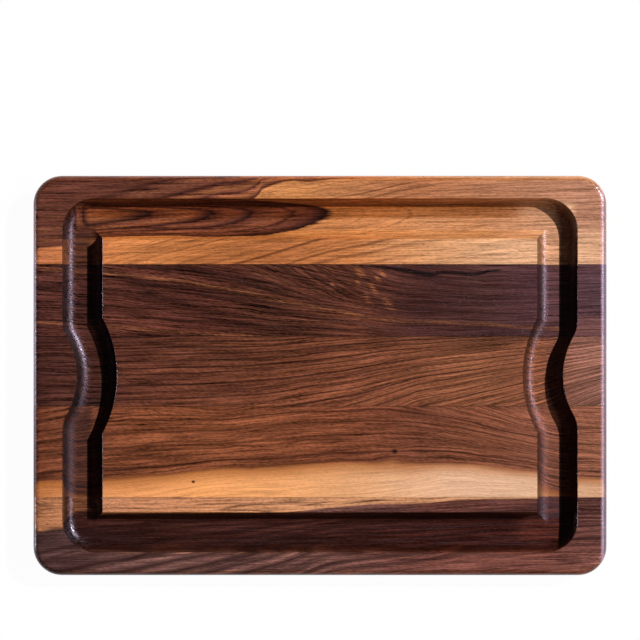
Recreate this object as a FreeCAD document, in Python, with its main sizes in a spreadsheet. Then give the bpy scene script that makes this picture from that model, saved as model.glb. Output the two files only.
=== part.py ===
# Carving board, edge-glued from five staves, with a waved juice groove.
#
# The board lies in its own frame: the origin is the centre of the underside,
# +X runs along the long side, +Y towards the back edge and +Z up.
# The panel is glued up, rounded, routed and notched as one blank, and each
# stave is the share of that panel between its two glue lines.

import FreeCAD, Part
import math
import os
from enum import IntEnum

import Sketcher

V = FreeCAD.Vector
PARTS_FOLDER = "parts"

doc = FreeCAD.newDocument("CarvingBoard")

# Driving dimensions, in millimetres
SIZES = [
    # the panel
    ("panel_length", 508.0),
    ("panel_thickness", 25.4),
    ("panel_corner_radius", 25.4),
    ("top_edge_round", 6.35),
    ("bottom_edge_round", 6.35),
    # the staves, from the back edge to the front edge
    ("back_stave_width", 78.8),
    ("back_inner_stave_width", 63.4),
    ("middle_stave_width", 62.0),
    ("front_inner_stave_width", 80.5),
    ("front_stave_width", 69.3),
    # the section of the juice groove
    ("groove_width", 35.0),
    ("groove_depth", 12.7),
    ("groove_cove_radius", 11.5),
    ("groove_arris", 0.5),
    # the route of the juice groove, seen from above
    ("end_rim", 26.5),
    ("side_rim", 20.75),
    ("corner_swing", 4.5),
    ("shoulder_swing", 4.0),
    ("wave_rise", 12.9),
    ("wave_radius", 88.5),
    # the finger grips under the two ends
    ("grip_length", 102.0),
    ("grip_reach", 19.0),
    ("grip_height", 12.7),
    ("grip_corner_radius", 12.7),
    ("grip_cove_radius", 6.35),
    # how far the cutters and the stave blanks stand proud of the panel
    ("overcut", 3.0),
]

# Sizes and places that follow from the driving dimensions
LAYOUT = [
    ("panel_width", "Sizes.back_stave_width + Sizes.back_inner_stave_width + Sizes.middle_stave_width"
                    " + Sizes.front_inner_stave_width + Sizes.front_stave_width"),
    ("half_length", "Sizes.panel_length / 2"),
    ("half_width", "panel_width / 2"),
    # the cove of the groove leaves a straight lip under the arris and a flat on the floor
    ("cove", "min(Sizes.groove_cove_radius; Sizes.groove_depth - Sizes.groove_arris - 0.2;"
             " Sizes.groove_width / 2 - 1)"),
    ("groove_floor", "Sizes.groove_width - 2 * cove"),
    # the centre line of the groove along the ends and along the sides
    ("end_line", "half_length - Sizes.end_rim - Sizes.groove_width / 2"),
    ("side_line", "half_width - Sizes.side_rim - Sizes.groove_width / 2"),
    # the pivots that the centre line swings about, at the corners and beside the wave
    ("corner_turn", "groove_floor / 2 + Sizes.corner_swing"),
    ("corner_x", "end_line - corner_turn"),
    ("corner_y", "side_line - corner_turn"),
    ("shoulder_turn", "groove_floor / 2 + Sizes.shoulder_swing"),
    ("shoulder_x", "end_line - shoulder_turn"),
    ("wave_crest_x", "end_line - Sizes.wave_rise"),
    ("wave_centre_x", "wave_crest_x + Sizes.wave_radius"),
    ("shoulder_y", "sqrt((Sizes.wave_radius + shoulder_turn) ^ 2 - (wave_centre_x - shoulder_x) ^ 2)"),
    ("shoulder_angle", "atan2(shoulder_y; wave_centre_x - shoulder_x)"),
]


def make_sheet(name, rows):
    """A sheet with one labelled and aliased cell for each row."""
    sheet = doc.addObject("Spreadsheet::Sheet", name)
    for line, (alias, content) in enumerate(rows, start=1):
        sheet.set(f"A{line}", alias)
        sheet.set(f"B{line}", content)
        sheet.setAlias(f"B{line}", alias)
    doc.recompute()
    return sheet


sizes = make_sheet("Sizes", [(alias, str(value)) for alias, value in SIZES])
layout = make_sheet("Layout", [(alias, "=" + formula) for alias, formula in LAYOUT])


def origin_plane(body, role):
    """One of the body's own origin planes, such as XY_Plane."""
    return [plane for plane in body.Origin.OriginFeatures if plane.Role == role][0]


def new_sketch(body, name, role, offset=("0 mm", "0 mm", "0 mm")):
    """A sketch on an origin plane, shifted along its own x, y and normal by three expressions."""
    sketch = body.newObject("Sketcher::SketchObject", name)
    sketch.AttachmentSupport = [(origin_plane(body, role), "")]
    sketch.MapMode = "FlatFace"
    for axis, expression in zip("xyz", offset):
        sketch.setExpression(f".AttachmentOffset.Base.{axis}", expression)
    return sketch


def value(expression):
    """The number that an expression gives, to draw a sketch close to its final form."""
    result = layout.evalExpression(expression)
    return getattr(result, "Value", result)


def dimension(sketch, name, expression, kind, *where):
    """A named dimension of a sketch, bound to the sheets by an expression."""
    index = sketch.addConstraint(Sketcher.Constraint(kind, *where, value(expression)))
    sketch.renameConstraint(index, name)
    sketch.setExpression(f"Constraints.{name}", expression)


def line(sketch, start, end, construction=False):
    """A straight edge between two (x, y) points, as its geometry index."""
    return sketch.addGeometry(Part.LineSegment(V(*start, 0), V(*end, 0)), construction)


def arc(sketch, centre, radius, first, last):
    """A round edge from the angle first to the angle last, in degrees, as its geometry index."""
    circle = Part.Circle(V(*centre, 0), V(0, 0, 1), radius)
    return sketch.addGeometry(Part.ArcOfCircle(circle, math.radians(first), math.radians(last)))


# The points of an edge, and the fixed references of every sketch
START, END, CENTRE = IntEnum("EdgePoint", "START END CENTRE")
X_AXIS, Y_AXIS = -1, -2
ORIGIN = (X_AXIS, START)


def join(sketch, loop):
    """Close a loop of edges end to start, each joint either plain or tangent."""
    for place, (edge, smooth) in enumerate(loop):
        following = loop[(place + 1) % len(loop)][0]
        kind = "Tangent" if smooth else "Coincident"
        sketch.addConstraint(Sketcher.Constraint(kind, edge, END, following, START))


def draw_groove_section(sketch):
    """The whole section of the groove, centred on the sketch's y axis with its top face at y = 0."""
    half = value("Sizes.groove_width / 2")
    depth = value("Sizes.groove_depth")
    cove = value("cove")
    arris = value("Sizes.groove_arris")
    over = value("Sizes.overcut")
    left_arris = line(sketch, (-half - arris - over, over), (-half, -arris))
    left_lip = line(sketch, (-half, -arris), (-half, cove - depth))
    left_cove = arc(sketch, (cove - half, cove - depth), cove, 180, 270)
    floor = line(sketch, (cove - half, -depth), (half - cove, -depth))
    right_cove = arc(sketch, (half - cove, cove - depth), cove, 270, 360)
    right_lip = line(sketch, (half, cove - depth), (half, -arris))
    right_arris = line(sketch, (half, -arris), (half + arris + over, over))
    mouth = line(sketch, (half + arris + over, over), (-half - arris - over, over))
    join(sketch, [(left_arris, False), (left_lip, True), (left_cove, True), (floor, True),
                  (right_cove, True), (right_lip, False), (right_arris, False), (mouth, False)])
    sketch.addConstraint(Sketcher.Constraint("Vertical", left_lip))
    sketch.addConstraint(Sketcher.Constraint("Vertical", right_lip))
    sketch.addConstraint(Sketcher.Constraint("Horizontal", floor))
    sketch.addConstraint(Sketcher.Constraint("Symmetric", left_lip, START, right_lip, END, Y_AXIS))
    sketch.addConstraint(Sketcher.Constraint("Symmetric", left_arris, START, right_arris, END, Y_AXIS))
    sketch.addConstraint(Sketcher.Constraint("Equal", left_cove, right_cove))
    dimension(sketch, "groove_width", "Sizes.groove_width", "DistanceX", left_lip, START, right_lip, END)
    dimension(sketch, "groove_depth", "Sizes.groove_depth", "DistanceY", floor, START, *ORIGIN)
    dimension(sketch, "cove", "Layout.cove", "Radius", left_cove)
    dimension(sketch, "arris_drop", "Sizes.groove_arris", "DistanceY", right_lip, END, *ORIGIN)
    dimension(sketch, "arris_run", "Sizes.groove_arris + Sizes.overcut", "DistanceX",
              right_arris, START, right_arris, END)
    dimension(sketch, "mouth_height", "Sizes.overcut", "DistanceY", *ORIGIN, right_arris, END)


def draw_pivot_section(sketch, swing):
    """The share of the groove's section on the outer side of a pivot that lies on the sketch's y axis.

    The turn there is tighter than half the groove, so the inner cove ends in a low cusp at the pivot.
    """
    depth = value("Sizes.groove_depth")
    cove = value("cove")
    arris = value("Sizes.groove_arris")
    over = value("Sizes.overcut")
    near = value(swing)
    far = near + value("groove_floor")
    cusp_angle = 180 + math.degrees(math.acos(near / cove))
    cusp = cove - depth + cove * math.sin(math.radians(cusp_angle))
    pivot = line(sketch, (0, over), (0, cusp))
    inner_cove = arc(sketch, (near, cove - depth), cove, cusp_angle, 270)
    floor = line(sketch, (near, -depth), (far, -depth))
    outer_cove = arc(sketch, (far, cove - depth), cove, 270, 360)
    lip = line(sketch, (far + cove, cove - depth), (far + cove, -arris))
    outer_arris = line(sketch, (far + cove, -arris), (far + cove + arris + over, over))
    mouth = line(sketch, (far + cove + arris + over, over), (0, over))
    join(sketch, [(pivot, False), (inner_cove, True), (floor, True), (outer_cove, True),
                  (lip, False), (outer_arris, False), (mouth, False)])
    sketch.addConstraint(Sketcher.Constraint("PointOnObject", pivot, START, Y_AXIS))
    sketch.addConstraint(Sketcher.Constraint("PointOnObject", pivot, END, Y_AXIS))
    sketch.addConstraint(Sketcher.Constraint("Horizontal", floor))
    sketch.addConstraint(Sketcher.Constraint("Vertical", lip))
    sketch.addConstraint(Sketcher.Constraint("Horizontal", mouth))
    sketch.addConstraint(Sketcher.Constraint("Equal", inner_cove, outer_cove))
    dimension(sketch, "swing", swing, "DistanceX", *ORIGIN, inner_cove, CENTRE)
    dimension(sketch, "groove_floor", "Layout.groove_floor", "DistanceX", floor, START, floor, END)
    dimension(sketch, "groove_depth", "Sizes.groove_depth", "DistanceY", floor, START, *ORIGIN)
    dimension(sketch, "cove", "Layout.cove", "Radius", outer_cove)
    dimension(sketch, "arris_drop", "Sizes.groove_arris", "DistanceY", lip, END, *ORIGIN)
    dimension(sketch, "arris_run", "Sizes.groove_arris + Sizes.overcut", "DistanceX",
              outer_arris, START, outer_arris, END)
    dimension(sketch, "mouth_height", "Sizes.overcut", "DistanceY", *ORIGIN, outer_arris, END)


def draw_rounded_rectangle(sketch, length, width, radius):
    """A rectangle with round corners, centred on the sketch's origin."""
    along = value(length) / 2
    across = value(width) / 2
    round_off = value(radius)
    right = line(sketch, (along, round_off - across), (along, across - round_off))
    back_right = arc(sketch, (along - round_off, across - round_off), round_off, 0, 90)
    back = line(sketch, (along - round_off, across), (round_off - along, across))
    back_left = arc(sketch, (round_off - along, across - round_off), round_off, 90, 180)
    left = line(sketch, (-along, across - round_off), (-along, round_off - across))
    front_left = arc(sketch, (round_off - along, round_off - across), round_off, 180, 270)
    front = line(sketch, (round_off - along, -across), (along - round_off, -across))
    front_right = arc(sketch, (along - round_off, round_off - across), round_off, 270, 360)
    join(sketch, [(edge, True) for edge in
                  (right, back_right, back, back_left, left, front_left, front, front_right)])
    for corner in (back_left, front_left, front_right):
        sketch.addConstraint(Sketcher.Constraint("Equal", back_right, corner))
    sketch.addConstraint(Sketcher.Constraint("Horizontal", front))
    sketch.addConstraint(Sketcher.Constraint("Vertical", left))
    sketch.addConstraint(Sketcher.Constraint("Symmetric", right, START, right, END, X_AXIS))
    sketch.addConstraint(Sketcher.Constraint("Symmetric", back, START, back, END, Y_AXIS))
    dimension(sketch, "half_length", length + " / 2", "DistanceX", *ORIGIN, right, END)
    dimension(sketch, "half_width", width + " / 2", "DistanceY", *ORIGIN, back, END)
    dimension(sketch, "corner", radius, "Radius", back_right)


def finish_sketch(sketch):
    """Solve a sketch and stop if anything in it is in conflict or still loose."""
    doc.recompute()
    if sketch.solve() != 0 or not sketch.FullyConstrained:
        raise RuntimeError(f"{sketch.Name} isn't fully constrained")


def edges_at_height(feature, height, within=None):
    """Names of a feature's edges that lie flat at one height, all of them or those within a half length."""
    names = []
    for number, edge in enumerate(feature.Shape.Edges, start=1):
        places = [edge.valueAt(edge.FirstParameter + share * (edge.LastParameter - edge.FirstParameter))
                  for share in (0, 0.5, 1)]
        flat = all(abs(place.z - height) < 1e-4 for place in places)
        inside = within is None or any(abs(place.x) < within for place in places)
        if flat and inside:
            names.append(f"Edge{number}")
    return names


# The panel: five staves glued into one blank, cut to its outline
panel = doc.addObject("PartDesign::Body", "Panel")

outline = new_sketch(panel, "PanelOutline", "XY_Plane")
draw_rounded_rectangle(outline, "Sizes.panel_length", "Layout.panel_width", "Sizes.panel_corner_radius")
finish_sketch(outline)

blank = panel.newObject("PartDesign::Pad", "PanelBlank")
blank.Profile = outline
blank.setExpression("Length", "Sizes.panel_thickness")
doc.recompute()

# The outer edges, rounded over above and below
top_round = panel.newObject("PartDesign::Fillet", "TopEdgeRound")
top_round.Base = (blank, edges_at_height(blank, value("Sizes.panel_thickness")))
top_round.setExpression("Radius", "min(Sizes.top_edge_round; Sizes.panel_thickness / 2 - 0.5)")
doc.recompute()

bottom_round = panel.newObject("PartDesign::Fillet", "BottomEdgeRound")
bottom_round.Base = (top_round, edges_at_height(top_round, 0))
bottom_round.setExpression("Radius", "min(Sizes.bottom_edge_round; Sizes.panel_thickness / 2 - 0.5)")
doc.recompute()


def new_cut(kind, name, sketch):
    """A cut of the panel that follows one sketch."""
    cut = panel.newObject(kind, name)
    cut.Profile = sketch
    return cut


# The juice groove along the back edge, between the two corner pivots
side_section = new_sketch(panel, "SideRunSection", "YZ_Plane",
                          ("Layout.side_line", "Sizes.panel_thickness", "0 mm"))
draw_groove_section(side_section)
finish_sketch(side_section)
side_run = new_cut("PartDesign::Pocket", "SideRun", side_section)
side_run.SideType = "Symmetric"
side_run.setExpression("Length", "2 * Layout.corner_x")
doc.recompute()

# The groove along the right end, from the shoulder of the wave to the corner
end_section = new_sketch(panel, "EndRunSection", "XZ_Plane",
                         ("Layout.end_line", "Sizes.panel_thickness", "-Layout.shoulder_y"))
draw_groove_section(end_section)
finish_sketch(end_section)
end_run = new_cut("PartDesign::Pocket", "EndRun", end_section)
end_run.setExpression("Length", "Layout.corner_y - Layout.shoulder_y")
doc.recompute()

# The corner, where the cutter swings a quarter turn
corner_section = new_sketch(panel, "CornerSection", "XZ_Plane",
                            ("Layout.corner_x", "Sizes.panel_thickness", "-Layout.corner_y"))
draw_pivot_section(corner_section, "Sizes.corner_swing")
finish_sketch(corner_section)
corner = new_cut("PartDesign::Groove", "Corner", corner_section)
corner.ReferenceAxis = (corner_section, ["V_Axis"])
corner.Angle = 90
doc.recompute()

# The shoulder, where the cutter swings out of the end run and into the wave
shoulder_section = new_sketch(panel, "ShoulderSection", "XZ_Plane",
                              ("Layout.shoulder_x", "Sizes.panel_thickness", "-Layout.shoulder_y"))
draw_pivot_section(shoulder_section, "Sizes.shoulder_swing")
finish_sketch(shoulder_section)
shoulder = new_cut("PartDesign::Groove", "Shoulder", shoulder_section)
shoulder.ReferenceAxis = (shoulder_section, ["V_Axis"])
shoulder.Reversed = True
shoulder.setExpression("Angle", "Layout.shoulder_angle")
doc.recompute()

# The wave, one round sweep from shoulder to shoulder about a centre beyond the end
wave_section = new_sketch(panel, "WaveSection", "XZ_Plane",
                          ("Layout.wave_crest_x", "Sizes.panel_thickness", "0 mm"))
draw_groove_section(wave_section)
wave_radius = value("Sizes.wave_radius")
wave_axis = line(wave_section, (wave_radius, -wave_radius / 4), (wave_radius, wave_radius / 4), True)
wave_section.addConstraint(Sketcher.Constraint("Symmetric", wave_axis, START, wave_axis, END, X_AXIS))
dimension(wave_section, "wave_radius", "Sizes.wave_radius", "DistanceX", *ORIGIN, wave_axis, START)
dimension(wave_section, "axis_length", "Sizes.wave_radius / 2", "DistanceY",
          wave_axis, START, wave_axis, END)
finish_sketch(wave_section)
wave = new_cut("PartDesign::Groove", "Wave", wave_section)
wave.ReferenceAxis = (wave_section, ["Axis0"])
wave.Midplane = True
wave.setExpression("Angle", "2 * Layout.shoulder_angle")
doc.recompute()



def origin_mirror(name, role, originals=()):
    """A mirror in one of the panel's own middle planes, of the cuts named or as a step of a pattern."""
    mirror = panel.newObject("PartDesign::Mirrored", name)
    mirror.MirrorPlane = (origin_plane(panel, role), [""])
    if originals:
        mirror.Originals = list(originals)
        panel.Tip = mirror
    doc.recompute()
    return mirror


# The groove along the front edge, the wave at the left end, and the other three corners
front_run = origin_mirror("FrontRun", "XZ_Plane", [side_run])
left_wave = origin_mirror("LeftWave", "YZ_Plane", [wave])
quarters = panel.newObject("PartDesign::MultiTransform", "OtherQuarters")
quarters.Originals = [end_run, corner, shoulder]
quarters.Transformations = [origin_mirror("FrontQuarters", "XZ_Plane"),
                            origin_mirror("LeftQuarters", "YZ_Plane")]
panel.Tip = quarters
doc.recompute()

# The finger grip under the right end, a notch that the groove's wave leaves room for
grip_outline = new_sketch(panel, "GripOutline", "XY_Plane", ("Layout.half_length", "0 mm", "0 mm"))
draw_rounded_rectangle(grip_outline, "2 * Sizes.grip_reach", "Sizes.grip_length", "Sizes.grip_corner_radius")
finish_sketch(grip_outline)
right_notch = new_cut("PartDesign::Pocket", "RightNotch", grip_outline)
right_notch.Reversed = True
right_notch.setExpression("Length", "Sizes.grip_height")
doc.recompute()
left_notch = origin_mirror("LeftNotch", "YZ_Plane", [right_notch])

# The roof of each grip curves down into its wall, where the fingertips lie
grip_coves = panel.newObject("PartDesign::Fillet", "GripCoves")
grip_coves.Base = (left_notch, edges_at_height(left_notch, value("Sizes.grip_height"),
                                               within=value("Layout.half_length") - 0.01))
grip_coves.setExpression("Radius", "min(Sizes.grip_cove_radius; Sizes.grip_height - 0.5;"
                                   " Sizes.grip_corner_radius - 0.5)")
panel.Tip = grip_coves
doc.recompute()

# The staves: the panel between two glue lines, from the back edge to the front edge
STAVES = ["back_stave", "back_inner_stave", "middle_stave", "front_inner_stave", "front_stave"]


def make_stave(name, above):
    """The share of the panel that lies in front of the staves named in above."""
    blank = doc.addObject("Part::Box", name + "_blank")
    over = "Sizes.overcut"
    outer_back = not above
    outer_front = name == STAVES[-1]
    behind = " - ".join(["Layout.half_width"] + [f"Sizes.{stave}_width" for stave in above])
    allowance = [over] * outer_back + [over] * outer_front
    blank.setExpression("Length", f"Sizes.panel_length + 2 * {over}")
    blank.setExpression("Width", " + ".join([f"Sizes.{name}_width"] + allowance))
    blank.setExpression("Height", f"Sizes.panel_thickness + 2 * {over}")
    blank.setExpression(".Placement.Base.x", f"-Layout.half_length - {over}")
    blank.setExpression(".Placement.Base.y", f"{behind} - Sizes.{name}_width" + f" - {over}" * outer_front)
    blank.setExpression(".Placement.Base.z", f"-{over}")
    stave = doc.addObject("Part::Common", name)
    stave.Base = panel
    stave.Tool = blank
    stave.Label = name
    stave.Placement = FreeCAD.Placement()
    return stave


staves = [make_stave(name, STAVES[:place]) for place, name in enumerate(STAVES)]
doc.recompute()


def check_document():
    """Stop before anything is written if a feature failed or a stave is not one sound solid."""
    for item in doc.Objects:
        if "Invalid" in item.State or "Error" in item.State:
            raise RuntimeError(f"{item.Name} failed")
    for stave in staves:
        shape = stave.Shape
        if shape.isNull() or not shape.isValid() or len(shape.Solids) != 1:
            raise RuntimeError(f"{stave.Label} is not one sound solid")


check_document()
os.makedirs(PARTS_FOLDER, exist_ok=True)
for stave in staves:
    stave.Shape.exportStep(os.path.join(PARTS_FOLDER, stave.Label + ".step"))
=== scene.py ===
import math

import bpy
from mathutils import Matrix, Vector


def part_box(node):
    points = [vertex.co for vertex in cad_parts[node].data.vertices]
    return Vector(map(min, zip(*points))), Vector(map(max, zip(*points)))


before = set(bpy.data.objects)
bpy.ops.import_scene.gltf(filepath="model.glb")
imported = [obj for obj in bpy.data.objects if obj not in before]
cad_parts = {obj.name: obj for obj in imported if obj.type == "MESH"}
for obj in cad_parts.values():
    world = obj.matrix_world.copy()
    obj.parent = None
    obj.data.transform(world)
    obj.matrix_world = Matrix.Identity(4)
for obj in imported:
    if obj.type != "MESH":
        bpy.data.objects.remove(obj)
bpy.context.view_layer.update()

# Back stave
# The widest board of the five, sawn so that pale sapwood lies on top of dark heartwood. It is planed,
# edge-glued to the next stave, cut by the groove and rubbed with oil. Below a slanting limit the groove
# and the left end reach the heartwood, which shows as nested dark loops.

MM = 1000.0  # millimetres in a metre: every size of the figure below is in millimetres
HALF_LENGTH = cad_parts["back_stave"].dimensions.x * MM / 2
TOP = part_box("back_stave")[1].z * MM


def join(tree, value, entry):
    """Gives a node's entry a field, a colour socket, a tone in hex digits or a plain value."""
    if isinstance(value, Field):
        tree.links.new(value.socket, entry)
    elif isinstance(value, bpy.types.NodeSocket):
        tree.links.new(value, entry)
    elif isinstance(value, str):
        entry.default_value = tone(value)
    else:
        entry.default_value = value


class Field:
    """A number that varies over the wood, kept as a socket of the material's nodes."""

    def __init__(self, tree, socket):
        self.tree = tree
        self.socket = socket

    def feed(self, operation, *others):
        """The result of a math node that takes this field first."""
        node = self.tree.nodes.new("ShaderNodeMath")
        node.operation = operation
        for entry, value in zip(node.inputs, (self, *others)):
            join(self.tree, value, entry)
        return Field(self.tree, node.outputs[0])

    def __add__(self, other):
        return self.feed("ADD", other)

    def __sub__(self, other):
        return self.feed("SUBTRACT", other)

    def __mul__(self, other):
        return self.feed("MULTIPLY", other)

    def __truediv__(self, other):
        return self.feed("DIVIDE", other)

    def __neg__(self):
        return self * -1.0

    def size(self):
        """How far it is from 0, whatever its sign."""
        return self.feed("ABSOLUTE")

    def least(self, other):
        return self.feed("MINIMUM", other)

    def most(self, other):
        return self.feed("MAXIMUM", other)

    def between(self, start, end):
        """Rises smoothly from 0 at start to 1 at end, or falls if start is the larger."""
        node = self.tree.nodes.new("ShaderNodeMapRange")
        node.interpolation_type = "SMOOTHSTEP"
        for name, value in (("Value", self), ("From Min", start), ("From Max", end)):
            join(self.tree, value, node.inputs[name])
        return Field(self.tree, node.outputs["Result"])

    def share_of(self, start, end):
        """This field as a straight share of the way from start to end, held within 0 and 1."""
        node = self.tree.nodes.new("ShaderNodeMapRange")
        for name, value in (("Value", self), ("From Min", start), ("From Max", end)):
            join(self.tree, value, node.inputs[name])
        return Field(self.tree, node.outputs["Result"])

    def follow(self, points):
        """A smooth curve drawn through (place, height) points."""
        places = [place for place, height in points]
        heights = [height for place, height in points]
        low = min(heights)
        reach = (max(heights) - low) or 1.0
        node = self.tree.nodes.new("ShaderNodeFloatCurve")
        line = node.mapping.curves[0].points
        while len(line) < len(points):
            line.new(0.5, 0.5)
        for point, (place, height) in zip(line, points):
            point.location = ((place - places[0]) / (places[-1] - places[0]), (height - low) / reach)
        node.mapping.update()
        join(self.tree, self.share_of(places[0], places[-1]), node.inputs["Value"])
        return Field(self.tree, node.outputs["Value"]) * reach + low

    def streaks(self, lines):
        """Dark lines across the growth, each given by its place, its half width and its strength."""
        most_lines = 9  # a ramp holds 32 stops, and each line takes three
        total = None
        for first in range(0, len(lines), most_lines):
            stops = []
            for place, half, strength in sorted(lines[first:first + most_lines]):
                stops += [(place - half, 0.0), (place, strength), (place + half, 0.0)]
            part = self.grey_ramp(stops)
            total = part if total is None else total + part
        return total

    def grey_ramp(self, stops):
        """A field that follows (place, height) stops in straight lines."""
        return Field(self.tree, self.ramp([(place, (grey, grey, grey, 1.0)) for place, grey in stops]))

    def tones(self, stops):
        """The wood's colour along this field, from (place, tone) stops."""
        return self.ramp([(place, tone(name)) for place, name in stops])

    def ramp(self, stops):
        """The colours of (place, colour) stops along this field."""
        node = self.tree.nodes.new("ShaderNodeValToRGB")
        start = stops[0][0]
        reach = stops[-1][0] - start
        elements = node.color_ramp.elements
        while len(elements) < len(stops):
            elements.new(1.0)
        for element, (place, shade) in zip(elements, stops):
            element.position = (place - start) / reach
            element.color = shade
        join(self.tree, self.share_of(start, stops[-1][0]), node.inputs["Fac"])
        return node.outputs["Color"]


def tone(name):
    """A tone written as six hex digits, turned from the screen's scale into linear light."""
    screen = [int(name[first:first + 2], 16) / 255 for first in (0, 2, 4)]
    return (*[part / 12.92 if part <= 0.04045 else ((part + 0.055) / 1.055) ** 2.4 for part in screen], 1.0)


def cloud(tree, along, across, through, detail=2.0, kind="ShaderNodeTexNoise"):
    """Noise over three fields, each already divided by the size of its spots."""
    place = tree.nodes.new("ShaderNodeCombineXYZ")
    for entry, value in zip(place.inputs, (along, across, through)):
        join(tree, value, entry)
    node = tree.nodes.new(kind)
    node.inputs["Scale"].default_value = 1.0
    node.inputs["Detail"].default_value = detail
    tree.links.new(place.outputs[0], node.inputs["Vector"])
    return Field(tree, node.outputs[0])


def make_grain_group():
    """The fine structure that all five staves share: growth lines, fibres and open pores."""
    group = bpy.data.node_groups.new("walnut_grain", "ShaderNodeTree")
    for name in ("Growth", "Across", "Along", "Depth", "Line Spacing"):
        group.interface.new_socket(name, in_out="INPUT", socket_type="NodeSocketFloat")
    for name in ("Line", "Fibre", "Pore", "Cloud"):
        group.interface.new_socket(name, in_out="OUTPUT", socket_type="NodeSocketFloat")
    entry = group.nodes.new("NodeGroupInput")
    result = group.nodes.new("NodeGroupOutput")
    growth, across, along, depth, spacing = (Field(group, socket) for socket in entry.outputs[:5])
    ridge = (cloud(group, along / 150.0, growth / spacing, depth / 40.0, 1.0) - 0.5).size()
    strength = cloud(group, along / 60.0, growth / spacing * 0.7 + 31.0, depth / 30.0, 1.0)
    line = ridge.between(0.05, 0.0) * strength.between(0.36, 0.62)
    band = cloud(group, along / 90.0, across / 2.4 + 7.0, depth / 2.4, 1.0)
    long_fibre = cloud(group, along / 34.0, across / 1.0, depth / 1.0, 1.0)
    short_fibre = cloud(group, along / 4.1 + across * 0.63, across / 0.8 + 3.0, depth / 0.8, 0.0)
    fibre = (band * 0.65 + long_fibre * 0.9 + short_fibre * 0.45 - 1.0) * 2.5 + 0.5
    cell = cloud(group, along / 3.6, across / 0.9, depth / 0.9, 0.0, "ShaderNodeTexVoronoi")
    crowd = cloud(group, along / 45.0, growth / 3.5 + 57.0, depth / 9.0, 1.0)
    pore = cell.between(0.38, 0.10) * crowd.between(0.34, 0.58)
    broad = cloud(group, along / 110.0, growth / 9.0 + 13.0, depth / 25.0, 2.0)
    for name, field in (("Line", line), ("Fibre", fibre), ("Pore", pore), ("Cloud", broad)):
        group.links.new(field.socket, result.inputs[name])
    return group


GRAIN = make_grain_group()


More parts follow.
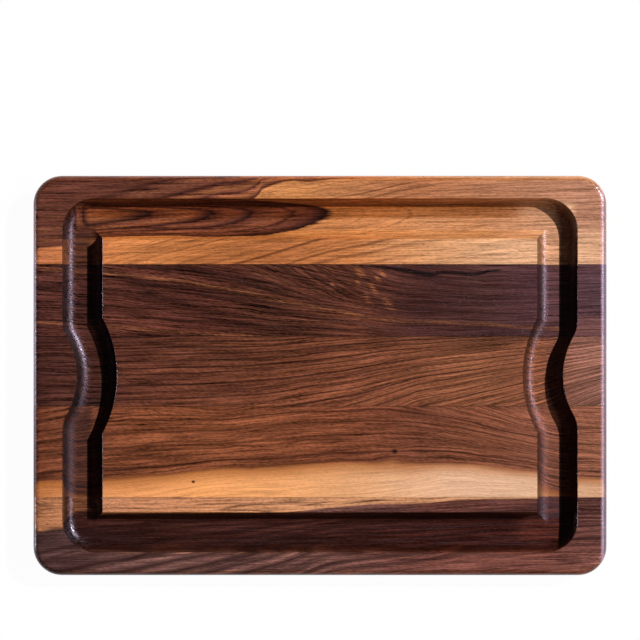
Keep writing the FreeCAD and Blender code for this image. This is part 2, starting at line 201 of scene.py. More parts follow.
class Stave:
    """One stave's material while it is being made, with its coordinates in millimetres."""

    PAST_FLOOR = (14.5, 13.0)  # the tones of the groove stop between these depths, just under its floor
    LEFT_WALL = (-236.0, -230.0)  # and between these places, at its left wall
    TONE_DRIFT = 8.0  # how far the limits between tones follow the drift of the grain
    PORE_TONE = "1c0c08"
    FIBRE_HEIGHT = 0.00012  # metres
    OIL_IOR = 1.52
    OIL_TINT = (0.87, 0.76, 1.0, 1.0)

    def __init__(self, node):
        self.node = node
        material = bpy.data.materials.new(node + "_oiled_walnut")
        material.use_nodes = True
        self.material = material
        self.tree = material.node_tree
        self.shader = self.tree.nodes["Principled BSDF"]
        place = self.tree.nodes.new("ShaderNodeTexCoord")
        split = self.tree.nodes.new("ShaderNodeSeparateXYZ")
        self.tree.links.new(place.outputs["Object"], split.inputs[0])
        self.x, self.y, self.z = (Field(self.tree, socket) * MM for socket in split.outputs)
        self.depth = -self.z + TOP
        self.above_floor = self.depth.between(*self.PAST_FLOOR)
        facing = self.tree.nodes.new("ShaderNodeNewGeometry")
        turn = self.tree.nodes.new("ShaderNodeSeparateXYZ")
        self.tree.links.new(facing.outputs["Normal"], turn.inputs[0])
        self.facing_end = Field(self.tree, turn.outputs["X"]).size()
        self.facing_up = Field(self.tree, turn.outputs["Z"])

    def grain(self, growth, across, line_spacing):
        """The shared fine structure, laid along this stave's own growth lines."""
        node = self.tree.nodes.new("ShaderNodeGroup")
        node.node_tree = GRAIN
        for name, value in (("Growth", growth), ("Across", across), ("Along", self.x),
                            ("Depth", self.depth), ("Line Spacing", line_spacing)):
            join(self.tree, value, node.inputs[name])
        return {name: Field(self.tree, node.outputs[name]) for name in ("Line", "Fibre", "Pore", "Cloud")}

    def wander(self, along, across, reach):
        """A slow sideways drift of the grain, in millimetres."""
        return (cloud(self.tree, self.x / along, self.y / across, self.z / 30.0, 2.0) - 0.5) * reach

    def left_end(self, start, end):
        """The left run of the groove: it fades in from start to end, and stops at the outer wall."""
        return self.x.between(start, end) * self.x.between(*self.LEFT_WALL)

    def blend(self, ground, cover, share, way="MIX"):
        """One colour laid over another, by a share that may vary."""
        node = self.tree.nodes.new("ShaderNodeMix")
        node.data_type = "RGBA"
        node.blend_type = way
        under, over = (entry for entry in node.inputs if entry.type == "RGBA")
        join(self.tree, share, node.inputs["Factor"])
        join(self.tree, ground, under)
        join(self.tree, cover, over)
        return next(socket for socket in node.outputs if socket.type == "RGBA")

    def brighten(self, colour, gain):
        """A colour made lighter or darker by a gain that may vary."""
        node = self.tree.nodes.new("ShaderNodeVectorMath")
        node.operation = "SCALE"
        join(self.tree, colour, node.inputs[0])
        join(self.tree, gain, node.inputs["Scale"])
        return node.outputs[0]

    def tones_along(self, drift, stops):
        """The wood's colour from the left end to the right, its limits bent by a drift of the grain."""
        return (self.x + drift * self.TONE_DRIFT).tones(stops)

    def mottle(self, colour, grain, reach, least):
        """Broad soft patches, from a least brightness up by a reach."""
        return self.brighten(colour, grain["Cloud"].between(0.3, 0.7) * reach + least)

    def finish(self, colour, grain, fibre_depth=0.5, line_tone="2a120c", line_depth=0.55, pore_depth=0.5,
               dullness=0.0, shine=0.5, seam_depth=0.6):
        """Lays the fine grain, the glue lines, the ends, the painted shade of the hollows, the painted
        highlights on the end edges and the oil over the stave's own figure.
        """
        colour = self.brighten(colour, (grain["Fibre"] - 0.5) * fibre_depth * 2.0 + 1.0)
        colour = self.blend(colour, line_tone, grain["Line"] * line_depth)
        colour = self.blend(colour, self.PORE_TONE, grain["Pore"] * pore_depth)
        colour = self.draw_seams(colour, seam_depth)
        colour = self.darken_ends_and_shade_hollows(colour)
        colour = self.paint_edge_highlights(colour)
        self.tree.links.new(colour, self.shader.inputs["Base Color"])
        self.oil(grain, dullness, shine)
        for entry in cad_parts[self.node].material_slots:
            entry.material = self.material

    def draw_seams(self, colour, seam_depth):
        """The thin dark glue lines where the stave meets its neighbours."""
        front_edge, back_edge = (corner.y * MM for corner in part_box(self.node))
        seam = (self.y - front_edge).size().least((self.y - back_edge).size())
        return self.brighten(colour, seam.between(0.1, 0.75) * seam_depth + (1.0 - seam_depth))

    def darken_ends_and_shade_hollows(self, colour):
        """The end grain, dark with oil, and painted shade on the groove's walls and floor, a warmer tint
        than the flat faces.
        """
        inside = self.x.size().between(HALF_LENGTH - 4.0, HALF_LENGTH - 14.0)
        end_grain = self.facing_end.between(0.05, 0.85)
        colour = self.brighten(colour, -(end_grain * (inside * 0.45 + 0.35)) + 1.0)
        # Painted shade: the sloping walls and the deeper floor are tinted warmer and a little darker than
        # the flat faces.
        slope = self.facing_up.between(0.995, 0.93) * inside
        painted_hollow_shade = slope.most(self.depth.between(4.0, 12.0) * inside * 0.5)
        return self.blend(colour, "fff0d2", painted_hollow_shade, "MULTIPLY")

    def paint_edge_highlights(self, colour):
        """A painted highlight: a pale line on the rounded upper edge of each end, where these edges catch
        light, and a darker line outside the right one.
        """
        # Painted highlight: the pale lavender line stands in for the light that the rounded end edges
        # reflect.
        left_reach = self.y.follow([
            (-177, 0.0), (-110, 0.1), (-57, 0.4), (-20, 0.65), (60, 0.73), (95, 0.7), (130, 0.15),
            (177, 0.0)])
        left_edge = (-self.x).between(HALF_LENGTH - 3.4, HALF_LENGTH - 2.0) * left_reach
        right_edge = self.x.between(HALF_LENGTH - 6.5, HALF_LENGTH - 4.0) * 0.38
        edge = (left_edge + right_edge) * self.facing_up.between(0.25, 0.6)
        colour = self.blend(colour, "c4aac4", edge)
        # A darker line on the outer part of the right end's rounded edge.
        right_outer_dark_line = self.x.between(HALF_LENGTH - 3.4, HALF_LENGTH - 2.4) * self.facing_up.between(0.2, 0.6)
        return self.brighten(colour, right_outer_dark_line * -0.5 + 1.0)

    def oil(self, grain, dullness, shine):
        """The thin coat of oil, smooth on the fibres, and dull and sunk where a pore is open."""
        rough = grain["Pore"] * 0.3 + (grain["Fibre"] - 0.5) * 0.2 + 0.27
        rough = rough + self.depth.between(0.5, 2.0) * dullness
        join(self.tree, rough, self.shader.inputs["Roughness"])
        relief = self.tree.nodes.new("ShaderNodeBump")
        relief.inputs["Strength"].default_value = 1.0
        relief.inputs["Distance"].default_value = self.FIBRE_HEIGHT
        join(self.tree, grain["Fibre"] * 0.7 - grain["Pore"], relief.inputs["Height"])
        self.tree.links.new(relief.outputs["Normal"], self.shader.inputs["Normal"])
        self.shader.inputs["IOR"].default_value = self.OIL_IOR
        self.shader.inputs["Specular IOR Level"].default_value = shine
        self.shader.inputs["Specular Tint"].default_value = self.OIL_TINT


back = Stave("back_stave")

# The slanting limit between the sapwood and the heartwood under it: it is deeper to the front and right.
climb = back.x.follow([
    (-254, -48.5), (-228, -46.5), (-200, -41), (-150, -27), (-100, -14), (-48, 0), (11, 17.5), (40, 23),
    (80, 32), (150, 42), (254, 49)])
sway = back.wander(70.0, 22.0, 3.0)
kink = back.x.follow([
    (-254, 0), (-90, 0), (-68, -3), (-51, 4.5), (-39, 5.5), (-20, 2.5), (11, -3), (254, -3)])
rise = climb - back.y + sway * 0.6 + kink * back.y.between(150.0, 158.0) + 162.0
above_limit = rise * 0.385 - back.depth
grain = back.grain(above_limit * 2.4, back.y - climb * 0.12 + sway, 3.2)

# The rings of the heartwood on the top face, counted from that limit.
ring = above_limit + (grain["Fibre"] - 0.5) * 0.5
heart = ring.tones([
    (-40, "57322a"), (-24, "5f362b"), (-21.5, "4a271d"), (-19.5, "66382a"), (-16.0, "5c3226"),
    (-14.2, "6c3c2b"), (-13.3, "2e1610"), (-12.3, "5a3023"), (-10.4, "7a4832"), (-8.2, "6c3c2b"),
    (-7.2, "33180f"), (-6.4, "6a3a28"), (-5.2, "8f5836"), (-4.4, "7e4830"), (-3.6, "44221a"),
    (-2.8, "7e4830"), (-1.6, "905836"), (-0.7, "6c3c28"), (0.0, "4a2519")])

# The loops that the groove lays open, nested on one line and turned back at the left end.
LOOP_AXIS = 145.3
below_axis = (-back.y + LOOP_AXIS).most(0.0)
above_axis = (back.y - LOOP_AXIS).most(0.0)
steep = back.x.follow([(-254, 4.0), (-194, 3.6), (-106, 1.9), (-60, 0.9), (-17, 0.56), (254, 0.5)])
taper = back.x.follow([
    (-254, 0.40), (-200, 0.40), (-150, 0.35), (-100, 0.22), (-60, 0.16), (-20, 0.125), (120, 0.12),
    (254, 0.12)])
loop = back.x + below_axis * below_axis * taper + above_axis * above_axis * steep
end_turn = (-back.x - 211.0) * 8.0 - 150.0 - back.depth.between(13.0, 15.0) * 900.0
loop = loop.feed("SMOOTH_MAX", end_turn, 75.0)
loop = loop + sway * 4.0 + (grain["Fibre"] - 0.5) * 3.0
loop_heart = loop.tones([
    (-240, "90573a"), (-185, "9a5f3d"), (-172, "7a462e"), (-158, "4a2a1e"), (-150, "2b140e"),
    (-144, "66382a"), (-130, "7e4a33"), (-112, "8a5236"), (-102, "5c3022"), (-94.5, "26100b"),
    (-89, "5a3023"), (-76, "7a452f"), (-66, "66382a"), (-59, "26100b"), (-54, "5c3022"), (-42, "70402c"),
    (-28, "7a452f"), (-23, "3a1b12"), (-19, "6c3b29"), (-8, "66382a"), (-1, "4a2519"), (6, "26100b"),
    (11, "2a120c"), (18, "66382a"), (40, "7a452f"), (62, "4a2519"), (85, "7e4a33"), (130, "8a5236")])

# The top face shows the rings, and all that is cut deeper shows the loops.
carved = back.depth.between(1.2, 2.8)
uncarved = -carved + 1.0
heart = back.blend(heart, loop_heart, carved)
heart = back.blend(heart, "64382a", back.x.between(-110.0, -225.0) * uncarved * 0.65)
heart = back.mottle(heart, grain, 0.25, 0.9)
heart = back.brighten(heart, back.x.between(-135.0, -85.0) * uncarved * 0.3 + 1.0)

# The sapwood has tones of its own on the panel, on the rim and on the groove's floor.
panel_sap = back.tones_along(sway, [
    (-254, "c2764a"), (-205, "ce7d48"), (-158, "e08d50"), (-110, "be743f"), (-31, "bd723f"),
    (30, "cc8049"), (93, "de9d6a"), (155, "e9b183"), (225, "e9b38a"), (254, "e2ab84")])
rim_sap = back.tones_along(sway, [
    (-254, "b66f40"), (-100, "d08850"), (-31, "d88f54"), (30, "c38052"), (93, "b5744c"), (155, "c3855f"),
    (237, "c0886a"), (254, "c08468")])
floor_sap = back.tones_along(sway, [
    (-254, "b66f40"), (-31, "c98550"), (60, "c98a5a"), (93, "c48c62"), (140, "c98f64"), (200, "dca684"),
    (254, "d8a684")])
sap = back.blend(panel_sap, floor_sap, back.depth.between(4.0, 9.0))
rim = back.y.between(150.0, 156.0).most(back.x.between(220.0, 228.0) * back.y.between(118.0, 140.0))
sap = back.blend(sap, rim_sap, rim * back.depth.between(3.0, 0.5))
sap = back.mottle(sap, grain, 0.2, 0.92)

# Dark growth lines in the sapwood.
sap_lines = above_limit.streaks([
    (2.6, 0.3, 0.7), (5.0, 0.3, 0.3), (7.7, 0.4, 1.0), (9.8, 0.5, 0.8), (11.9, 0.4, 0.9),
    (14.2, 0.4, 0.5), (16.5, 0.7, 1.0), (19.0, 0.9, 0.9), (21.6, 0.8, 1.0), (24.2, 0.6, 0.7),
    (26.8, 0.7, 0.9), (29.8, 0.7, 0.9), (33.5, 0.6, 0.4)])
loop_lines = loop.streaks([
    (22, 1.5, 0.3), (40, 2.0, 0.6), (58, 1.5, 0.3), (80, 2.5, 0.8), (104, 2.0, 0.3), (128, 2.5, 0.5),
    (160, 3.0, 0.5), (205, 5.0, 0.5), (255, 6.0, 0.5)])
sap_lines = sap_lines * uncarved + loop_lines * carved
strength = back.x.follow([
    (-254, 0.7), (-120, 0.9), (-70, 1.3), (70, 1.2), (105, 0.5), (254, 0.45)])
sap_lines = sap_lines * (grain["Cloud"].between(0.3, 0.6) * 0.7 + 0.2) * strength
sap = back.blend(sap, "5a2c17", sap_lines * 0.75)

# Where the wood is sapwood: above the limit on the top face, and right of the loops where it is carved.
wall_limit = back.y.follow([(LOOP_AXIS, 11), (150, 0), (153, -25), (156, -70)])
past_wall_limit = (back.x - wall_limit + sway * 2.0).between(-5.0, 4.0)
in_loop_sap = loop.between(6.0, 15.0)
in_loop_sap = in_loop_sap + (past_wall_limit - in_loop_sap) * back.y.between(145.0, 146.5)
in_sap = above_limit.between(-0.1, 0.8) * uncarved + in_loop_sap * carved
wood = back.blend(heart, sap, in_sap)

# Single places in the groove: painted shade along the base of its back wall, its left floor, and the rings
# at the corner.
# Painted shade: a darker band along the base of the back wall, where the wall's shade falls.
painted_foot_shade = back.y.between(138.5, 142.0) * back.depth.between(6.0, 10.0) * back.x.between(187.0, 168.0)
painted_foot_shade = painted_foot_shade * back.above_floor
wood = back.blend(wood, "d6c0a4", painted_foot_shade, "MULTIPLY")
left_floor = back.left_end(-196.0, -206.0) * back.y.between(140.0, 118.0)
left_floor = left_floor * back.depth.between(8.5, 12.0) * back.above_floor
wood = back.blend(wood, "462620", left_floor * (loop_lines * -0.3 + 0.85))
corner_rings = (back.depth * 3.0 + back.y + sway).streaks([
    (134.0, 1.5, 0.8), (138.8, 2.0, 1.0), (143.6, 1.8, 1.0), (149.5, 1.6, 0.8), (155.0, 2.4, 1.0),
    (162.5, 2.0, 0.7), (170.0, 2.0, 0.7)])
corner = back.left_end(-200.0, -210.0) * back.y.between(146.0, 134.0)
corner = corner * back.depth.between(1.0, 2.0) * back.above_floor
wood = back.blend(wood, "140805", corner_rings * corner * 0.85)

dull = back.x.between(-190.0, -205.0)
back.finish(wood, grain, fibre_depth=in_sap * -0.2 + 0.5, line_tone="4a2416", line_depth=0.3,
            pore_depth=in_sap * -0.1 + 0.55, dullness=dull * 0.06)

# Back inner stave
# The darkest board, plain heartwood from beside a fork of the tree: its lines fall to the right and crowd
# together, with curled flecks past the middle and two light streaks. Glued between its neighbours.

back_inner = Stave("back_inner_stave")

# Its growth lines keep their share between and beside two light streaks that close in to the right.
low_streak = back_inner.x.follow([
    (-254, 47), (-228, 46.2), (-186, 43.5), (-159, 41), (-106, 37.3), (-70, 35.6), (0, 33), (254, 32)])
light_streak = back_inner.x.follow([
    (-254, 95.5), (-228, 93), (-186, 90.4), (-159, 87), (-124, 83.4), (-97, 79.8), (-70, 74.5),
    (-44, 68.3), (-17, 63), (18, 56), (44, 51.5), (71, 48.2), (106, 47), (142, 46), (186, 42.5),
    (254, 40)])
LEFT_SPREAD = 47.0  # from one streak to the other, at the left
spread = (light_streak - low_streak).most(14.0)
wander = back_inner.wander(55.0, 14.0, 4.0)
height = back_inner.y + wander - low_streak
share = height / spread
curl = back_inner.x.follow([
    (-254, 0), (-60, 0), (-35, 5), (-17, 13), (9, 24), (40, 34), (70, 38), (254, 38)])
growth = share * LEFT_SPREAD + curl * share.between(1.0, 1.7) + back_inner.depth * 0.8
grain = back_inner.grain(growth, height * spread.feed("POWER", -0.5) * LEFT_SPREAD ** 0.5, 5.0)

# The ground from left to right, with its dark lines, the two streaks and a paler front right corner.
wood = back_inner.tones_along(wander, [
    (-254, "532d25"), (-180, "552d22"), (-100, "482419"), (-40, "4e2a1c"), (30, "5c3222"),
    (90, "4a2822"), (150, "50302b"), (195, "563436"), (254, "553a3e")])
wood = back_inner.mottle(wood, grain, 0.8, 0.7)
lines = growth.streaks([
    (11.4, 0.9, 0.4), (19.7, 1.0, 0.5), (25.0, 0.8, 0.4), (28.5, 1.0, 0.5), (36.0, 1.0, 0.5),
    (41.6, 1.0, 0.5), (57.0, 1.3, 0.7), (66.0, 1.0, 0.5), (75.0, 1.0, 0.4), (84.6, 1.5, 0.9),
    (93.0, 1.2, 0.4), (102.0, 1.6, 0.9), (110.0, 1.2, 0.4), (118.0, 1.6, 0.8), (127.0, 1.5, 0.5),
    (137.0, 2.0, 0.6)])
wood = back_inner.blend(wood, "1f0d09", lines * 0.8)
streak = (back_inner.y - light_streak + wander * 0.5).size().between(3.0, 0.0)
second = (back_inner.y - low_streak + wander * 0.5).size().between(1.8, 0.0)
wood = back_inner.blend(wood, "7c4a2e", streak * (grain["Fibre"] * 0.7 + 0.3))
wood = back_inner.blend(wood, "8a5434", second * (grain["Fibre"] * 0.7 + 0.3))
right_foot = back_inner.x.between(215.0, 230.0) * back_inner.y.between(56.0, 48.0)
wood = back_inner.blend(wood, "7a4f4a", right_foot * 0.8)

# Curled light flecks where the grain turns.
for fleck_x, fleck_y, reach in (
        (35.6, 90.4, 6.0), (55.0, 90.4, 4.0), (51.5, 85.1, 4.0), (32.9, 83.4, 4.0), (11.7, 78.9, 3.5),
        (47.1, 77.2, 5.5), (41.8, 68.3, 6.0), (60.4, 63.0, 6.5)):
    slant = (back_inner.x - fleck_x) + (back_inner.y - fleck_y) * 0.6
    away = slant * slant * 1.2 + (back_inner.y - fleck_y) * (back_inner.y - fleck_y) * 0.6
    fleck = away.feed("SQRT").between(reach, 0.0) * grain["Fibre"].between(0.3, 0.8)
    wood = back_inner.blend(wood, "a4623a", fleck * 0.75)

# A dark line of pitch along part of the back edge.
pitch = back_inner.x.follow([
    (30, 98.0), (53, 95.7), (71, 94), (89, 90.3), (99, 89.2), (106, 91), (124, 90.4), (133, 89.5),
    (150, 92.6), (162, 93.6)])
pitch_half = back_inner.x.follow([
    (30, 0.4), (60, 1.4), (95, 2.6), (110, 1.6), (133, 1.8), (150, 1.3), (165, 0.3)])
pitch_line = ((back_inner.y - pitch).size() / (pitch_half + 0.01)).between(1.2, 0.5)
pitch_line = pitch_line * (back_inner.x - 97.0).size().between(66.0, 60.0)
wood = back_inner.blend(wood, "150a08", pitch_line * 0.9)

# The groove's floor is darker at the left and lighter at the right, and the panel has one darker patch.
left_floor = back_inner.left_end(-200.0, -206.0) * back_inner.depth.between(3.0, 8.0)
left_floor = left_floor * back_inner.above_floor
right_floor = back_inner.x.between(196.0, 206.0) * back_inner.depth.between(6.0, 12.0)
right_floor = right_floor * back_inner.above_floor
dark_patch = back_inner.x.between(55.0, 75.0) * back_inner.x.between(150.0, 120.0)
dark_patch = dark_patch * back_inner.y.between(50.0, 57.0) * back_inner.y.between(82.0, 74.0)
wood = back_inner.brighten(wood, (left_floor * -0.4 + 1.0) * (dark_patch * -0.22 + 1.0))
wood = back_inner.brighten(wood, right_floor * 0.28 + 1.0)

calm = back_inner.x.between(40.0, 90.0)
back_inner.finish(wood, grain, fibre_depth=calm * -0.3 + 0.7, line_tone="1f0d09", line_depth=0.7,
                  pore_depth=0.75, dullness=0.1, shine=0.45)

# Middle stave
# Reddish heartwood sawn near the quarter, so its growth lines run almost straight; they lie level at the
# left and fan upwards to the right. Glued between its neighbours.

middle = Stave("middle_stave")

# Two of its growth lines. All others keep their share between and beside these two.
upper_line = middle.x.follow([
    (-254, 12.5), (-177, 12.6), (-106, 14.3), (-70, 14.9), (-35, 17), (0, 20.5), (36, 24.1), (71, 27.4),
    (106, 29.6), (142, 32), (177, 34), (254, 38)])
lower_line = middle.x.follow([
    (-254, -42), (-177, -41), (-106, -39), (-70, -36), (-35, -31.5), (0, -25.5), (27, -20.8), (53, -14),
    (71, -8.7), (89, -3.8), (115, 0.2), (142, 4.6), (177, 9.9), (228, 18), (254, 22)])
wander = middle.wander(40.0, 10.0, 2.0)
share = (middle.y + wander - lower_line) / (upper_line - lower_line)
growth = share * 53.6 - 41.0 + middle.depth * 1.2  # millimetres across, as at x = -177
grain = middle.grain(growth, growth * 0.7, 4.2)
lines = growth.streaks([
    (34.2, 0.9, 0.7), (28.8, 1.0, 0.8), (23.8, 1.0, 0.8), (17.8, 1.1, 0.9), (12, 1.0, 0.8),
    (5.8, 1.1, 0.9), (0.8, 1.0, 0.7), (-4.4, 0.8, 0.4), (-9.2, 1.2, 1.0), (-15.3, 1.0, 0.8),
    (-21.5, 1.1, 0.8), (-29.6, 1.1, 0.7), (-37.3, 1.5, 1.0), (-46.9, 1.3, 0.8), (-57, 1.5, 0.7),
    (-67, 1.5, 0.6), (-79, 2.2, 0.9), (-88, 1.8, 0.6), (-98, 1.8, 0.7), (-108, 2.0, 0.6),
    (-118, 2.0, 0.8), (-130, 2.2, 0.7)])

# The ground from left to right, with slow changes across the stave, and its dark lines.
wood = middle.tones_along(wander, [
    (-254, "45251d"), (-228, "49281f"), (-160, "5b3223"), (-70, "633724"), (0, "703f29"), (70, "7c4830"),
    (140, "875236"), (190, "8a5338"), (228, "946250"), (254, "946452")])
wood = middle.mottle(wood, grain, 0.5, 0.78)
tilt = middle.x.follow([
    (-254, 0.0), (-190, 0.1), (-130, 0.2), (-60, 0.25), (0, 0.2), (60, 0.05), (140, 0.0), (205, -0.2),
    (228, -0.5), (254, -0.5)])
level = (middle.y - 4.0) / 31.0
wood = middle.brighten(wood, -(level * tilt) + 1.2)
wood = middle.brighten(wood, middle.x.between(-10.0, 70.0) * level.between(0.2, 1.2) * -0.5 + 1.0)
low = middle.x.between(-150.0, -60.0) * middle.x.between(40.0, -20.0) * level.between(-0.3, -1.0)
wood = middle.brighten(wood, low * 0.3 + 1.0)
wood = middle.blend(wood, "220c09", lines * (grain["Cloud"].between(0.2, 0.6) * 0.3 + 0.75))

# The groove's floor is darker at the left, most of all towards the front.
left_floor = middle.left_end(-186.0, -198.0) * middle.depth.between(2.0, 7.0) * middle.above_floor
wood = middle.brighten(wood, left_floor * (middle.y.between(-6.0, -24.0) * -0.4 - 0.3) + 1.0)

dull = middle.x.between(50.0, -50.0) * middle.y.between(8.0, -14.0)
middle.finish(wood, grain, line_tone="2a120d", line_depth=0.5, pore_depth=0.65,
              dullness=dull * 0.06 + 0.08, shine=0.42)

# Front inner stave
# Brown heartwood whose lines arch over the middle of the board, with two pin knots, and a strip of cream
# sapwood along its front edge. Glued between its neighbours.

front_inner = Stave("front_inner_stave")

# Two of its growth lines. The others keep their share beside them, and bend round the larger knot.
upper_line = front_inner.x.follow([
    (-254, -50), (-228, -47), (-192, -41), (-141, -38.8), (-97, -39.5), (-53, -36), (-17, -32.6),
    (18, -30.8), (44, -30), (71, -31), (89, -33.5), (124, -39.6), (160, -48), (191, -54.7), (228, -60),
    (254, -61)])
lower_line = front_inner.x.follow([
    (-254, -86.6), (-228, -85), (-192, -83.9), (-141, -80.4), (-97, -76), (-35, -72.4), (0, -69.7),
    (53, -67.5), (97, -66.6), (124, -68), (142, -70.6), (191, -77.7), (228, -84), (254, -85)])
wander = front_inner.wander(38.0, 10.0, 4.0)
share = (front_inner.y + wander - lower_line) / (upper_line - lower_line)
knots = ((66.0, -67.0, 2.8), (-112.0, -94.0, 1.7))
beside = front_inner.x - knots[0][0]
beyond = front_inner.y - knots[0][1]
swirl = (beside * beside * 0.35 + beyond * beyond).feed("SQRT").between(15.0, 3.0)
growth = share * 36.0 - 67.0 + front_inner.depth * 1.0  # millimetres across, as at x = 71
growth = growth + beyond / (beyond.size() + 1.5) * swirl * 2.5
grain = front_inner.grain(growth, growth * 0.9, 5.5)
lines = growth.streaks([
    (-10, 1.2, 0.4), (-15.5, 1.0, 0.5), (-21, 1.2, 0.5), (-31, 1.5, 0.8), (-40.5, 1.4, 0.8),
    (-51.5, 1.2, 0.6), (-55, 1.0, 0.5), (-67, 2.0, 1.0), (-73.5, 1.5, 0.8), (-78.5, 1.0, 0.6)])

# The heartwood and the sapwood from left to right.
heart = front_inner.tones_along(wander, [
    (-254, "6c3d2e"), (-228, "704232"), (-150, "7e4a35"), (-70, "814c37"), (20, "7c4836"),
    (90, "734537"), (150, "82503f"), (190, "8c584a"), (254, "8f5e4f")])
sap = front_inner.tones_along(wander, [
    (-254, "bf7746"), (-190, "ec9e62"), (-100, "f6a866"), (-30, "f0a86c"), (40, "e6aa78"),
    (110, "e8b791"), (190, "e4b692"), (254, "d8a47c")])
heart = front_inner.mottle(heart, grain, 0.45, 0.88)
heart = front_inner.blend(heart, "2b130c", lines * (grain["Cloud"].between(0.2, 0.6) * 0.4 + 0.5))

# Sapwood lies in front of one growth line, and starts further forward on the groove's right floor.
right_floor = front_inner.x.between(180.0, 200.0) * front_inner.depth.between(0.3, 2.5)
right_floor = right_floor * front_inner.above_floor
early = front_inner.x.follow([
    (-254, 2.2), (-190, 4.2), (-120, 4.2), (-60, 3.0), (0, 3.0), (60, 1.0), (100, -2.0), (140, -1.5),
    (254, 1.0)])
place = growth - early + (grain["Fibre"] - 0.5) * 1.5 + right_floor * 7.0
in_sap = place.between(-75.5, -80.5)
deep_sap = place.between(-76.5, -93.0)
sap = front_inner.blend("a8622f", sap, deep_sap * 0.85 + 0.15)
sap = front_inner.brighten(sap, 1.05)
heart = front_inner.blend(heart, "fff5da", 1.0, "MULTIPLY")
wood = front_inner.blend(heart, sap, in_sap)

# The groove's floor is darker at both ends.
left_floor = front_inner.left_end(-200.0, -206.0) * front_inner.depth.between(2.0, 7.0)
left_floor = left_floor * front_inner.above_floor
wood = front_inner.brighten(wood, left_floor * -0.6 + 1.0)
wood = front_inner.brighten(wood, right_floor * (in_sap * -0.23 - 0.16) + 1.0)
wood = front_inner.blend(wood, "ffe4c4", right_floor * in_sap, "MULTIPLY")

for knot_x, knot_y, reach in knots:
    away = ((front_inner.x - knot_x) * 0.7).feed("POWER", 2.0) + (front_inner.y - knot_y).feed("POWER", 2.0)
    knot = away.feed("SQRT").between(reach, reach * 0.3)
    wood = front_inner.blend(wood, "240d08", knot * 0.95)

shiny = front_inner.x.between(-50.0, 50.0) * front_inner.y.between(-54.0, -44.0)
front_inner.finish(wood, grain, fibre_depth=in_sap * -0.35 + 0.5, line_tone="32150d",
                   line_depth=in_sap * -0.4 + 0.5, pore_depth=in_sap * -0.5 + 0.65,
                   dullness=shiny * -0.1 + 0.3, shine=0.3, seam_depth=0.25)

# Front stave
# Dark purple-brown heartwood, glued to the stave behind it, with a thin wedge of tan sapwood left at its
# back left corner. The heartwood's slanting limit cuts off that wedge towards the right, and the groove is
# darkened by painted shade.

front = Stave("front_stave")

# The limit of the sapwood and one growth line in the heartwood, between which all bands keep their share.
sap_limit = front.x.follow([
    (-254, -138.5), (-228, -134.5), (-192, -131), (-106, -126), (-26, -121), (36, -114.6), (71, -113),
    (106, -111.3), (142, -109.6), (191, -108.5), (254, -108)])
rim_line = front.x.follow([
    (-254, -300), (-177, -262), (-106, -228), (-62, -207), (-26, -190), (9, -174), (36, -169.7),
    (62, -166), (89, -162.7), (124, -157.4), (142, -155.6), (191, -152), (254, -149)])
wander = front.wander(45.0, 12.0, 4.0)
share = (front.y + wander - sap_limit) / (sap_limit - rim_line)
growth = share * 100.0 - front.depth * 0.7
grain = front.grain(growth, front.y + wander - sap_limit * 0.3, 9.0)
bands = growth.streaks([
    (-12, 1.5, 0.7), (-18, 2.5, 0.7), (-25, 3.5, 1.0), (-33, 3.5, 0.9), (-41.5, 4.0, 1.0),
    (-50, 4.0, 0.9), (-60, 5.0, 1.0), (-73, 6.0, 0.8), (-87, 6.0, 0.8), (-100, 5.0, 0.7)])

# The heartwood, with painted shade in the groove, darker towards its back right corner, and with its broad
# dark bands.
heart = front.tones_along(wander, [
    (-254, "3c2826"), (-215, "523733"), (-130, "68473f"), (0, "6b473f"), (100, "643b31"),
    (200, "663c32"), (254, "75493f")])
heart = front.mottle(heart, grain, 0.6, 0.7)
heart = front.brighten(heart, front.y.between(-152.0, -158.0) * 0.3 + 1.0)
heart = front.brighten(heart, front.x.between(150.0, 235.0) * front.y.between(-140.0, -112.0) * -0.3 + 1.0)
# Painted shade: the groove's walls and floor are darkened and tinted warmer, and all outside them lifted a
# little.
painted_groove_shade = front.depth.between(2.0, 10.0) * front.depth.between(16.0, 14.0)
painted_groove_shade = painted_groove_shade * front.y.between(-168.0, -162.0) * front.x.size().between(242.0, 236.0)
heart = front.brighten(heart, painted_groove_shade * -0.78 + 1.14)
heart = front.blend(heart, "ffd6cc", painted_groove_shade, "MULTIPLY")
heart = front.blend(heart, "2a1512", bands * (grain["Fibre"] * 0.5 + 0.6))
# Deeper painted shade towards the groove's front wall.
heart = front.brighten(heart, front.y.between(-139.0, -150.0) * painted_groove_shade * -0.3 + 1.0)

# The wedge of sapwood, and the groove's floor, lighter at the right and darker in the left sapwood.
sap = front.tones_along(wander, [
    (-254, "b4764f"), (-180, "c98961"), (-100, "cc8b60"), (0, "d6976b"), (254, "cf9468")])
wood = front.blend(heart, sap, growth.between(-1.5, 1.5))
right_floor = front.x.between(168.0, 188.0) * front.y.between(-153.0, -143.0)
right_floor = right_floor * front.depth.between(2.0, 10.0) * front.above_floor
wood = front.brighten(wood, right_floor * 1.2 + 1.0)
left_floor = front.left_end(-194.0, -204.0) * growth.between(-1.5, 1.5)
left_floor = left_floor * front.depth.between(2.0, 7.0) * front.above_floor
wood = front.blend(wood, "5a3424", left_floor * 0.85)

in_heart = growth.between(1.5, -1.5)
dull = front.x.between(175.0, 200.0) * front.y.between(-132.0, -124.0)
front.finish(wood, grain, fibre_depth=in_heart * 0.1 + 0.35, line_tone="2c1512", line_depth=0.7,
             pore_depth=0.65, dullness=dull * 0.35, shine=0.45, seam_depth=0.2)

# Floor
# A wide sheet of white paper under the board. The camera and the oil see it as almost evenly white, and it
# takes only a faint part of the board's shadow.

SHEET_WIDTH = 6.0  # metres
SHEET_DROP = 0.0005  # metres below the board, so that the two faces don't meet
PAPER_GLOW = 0.97  # the share of the paper that looks evenly white

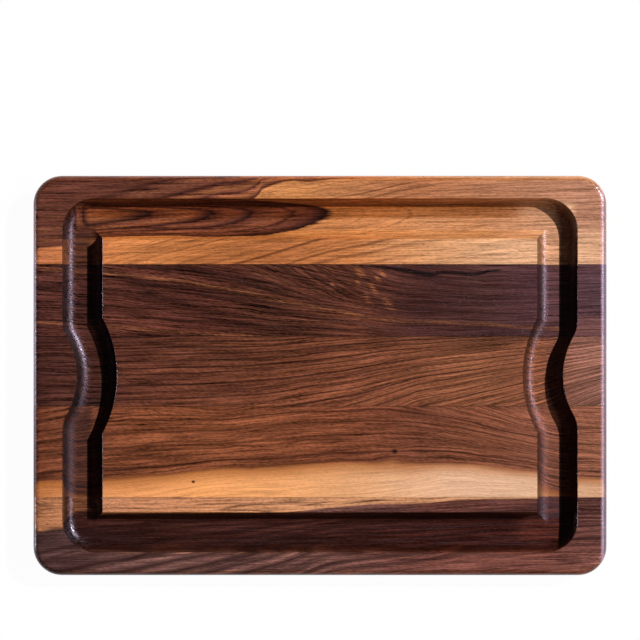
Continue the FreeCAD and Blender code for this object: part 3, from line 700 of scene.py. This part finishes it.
bpy.ops.mesh.primitive_plane_add(size=SHEET_WIDTH, location=(0.0, 0.0, -SHEET_DROP))
floor = bpy.context.object
floor.name = "paper_floor"
paper = bpy.data.materials.new("white_paper")
paper.use_nodes = True
nodes = paper.node_tree.nodes
links = paper.node_tree.links
nodes["Principled BSDF"].inputs["Base Color"].default_value = (0.9, 0.9, 0.9, 1.0)
nodes["Principled BSDF"].inputs["Roughness"].default_value = 0.9
glow = nodes.new("ShaderNodeEmission")
seen = nodes.new("ShaderNodeLightPath")
direct = nodes.new("ShaderNodeMath")
direct.operation = "MAXIMUM"
part = nodes.new("ShaderNodeMath")
part.operation = "MULTIPLY"
part.inputs[1].default_value = PAPER_GLOW
cover = nodes.new("ShaderNodeMixShader")
links.new(seen.outputs["Is Camera Ray"], direct.inputs[0])
links.new(seen.outputs["Is Glossy Ray"], direct.inputs[1])
links.new(direct.outputs[0], part.inputs[0])
links.new(part.outputs[0], cover.inputs[0])
links.new(nodes["Principled BSDF"].outputs[0], cover.inputs[1])
links.new(glow.outputs[0], cover.inputs[2])
links.new(cover.outputs[0], nodes["Material Output"].inputs["Surface"])
floor.data.materials.append(paper)

# Lights
# A hard lamp high at the right, so that the groove's right walls throw short dark shadows, and a broad
# faint one beside it. A lamp low at the left catches only the left edge and the edges of the groove. The
# room is white to the camera, and lifts the shadows only slightly.

KEY_AZIMUTH = math.radians(25.6)
SIDE_AZIMUTH = math.radians(-14.0)
ZENITH = math.radians(53.2)
TABLE_ZENITH = math.radians(-89.4)
LEVEL_WHITE = math.pi / math.cos(ZENITH)  # the energy that would show a level white face as white
ROOM_GLOW = 0.021

for name, azimuth, zenith, breadth, energy in (
        ("key_lamp", KEY_AZIMUTH, ZENITH, 1.5, 0.82 * LEVEL_WHITE),
        ("side_lamp", SIDE_AZIMUTH, ZENITH, 16.0, 0.13 * LEVEL_WHITE),
        ("table_lamp", 0.0, TABLE_ZENITH, 1.0, 1.1)):
    lamp = bpy.data.lights.new(name, "SUN")
    lamp.angle = math.radians(breadth)
    lamp.energy = energy
    lamp.color = (1.0, 0.98, 1.0)
    stand = bpy.data.objects.new(name, lamp)
    stand.rotation_euler = (0.0, zenith, azimuth)
    bpy.context.scene.collection.objects.link(stand)

world = bpy.data.worlds.new("white_room")
world.use_nodes = True
bpy.context.scene.world = world
room = world.node_tree.nodes["Background"]
room.inputs["Color"].default_value = (1.0, 1.0, 1.0, 1.0)
sky = world.node_tree.nodes.new("ShaderNodeLightPath")
lift = world.node_tree.nodes.new("ShaderNodeMapRange")
lift.inputs["To Min"].default_value = ROOM_GLOW
lift.inputs["To Max"].default_value = 1.0
world.node_tree.links.new(sky.outputs["Is Camera Ray"], lift.inputs["Value"])
world.node_tree.links.new(lift.outputs[0], room.inputs["Strength"])

# Camera
# It looks straight down at the middle of the board, from nearly two metres up.

CAMERA_HEIGHT = 1.94  # metres above the board
SENSOR_WIDTH = 36.0  # millimetres
FOCAL_LENGTH = 123.45  # millimetres
PICTURE_SHIFT = 0.0867  # of the picture's width, because the board lies below the middle of the picture

camera = bpy.data.objects.new("camera", bpy.data.cameras.new("camera"))
camera.location = (0.0, 0.0, TOP / MM + CAMERA_HEIGHT)
camera.data.sensor_width = SENSOR_WIDTH
camera.data.lens = FOCAL_LENGTH
camera.data.shift_y = PICTURE_SHIFT
bpy.context.scene.collection.objects.link(camera)
bpy.context.scene.camera = camera
bpy.context.scene.view_settings.view_transform = "Standard"
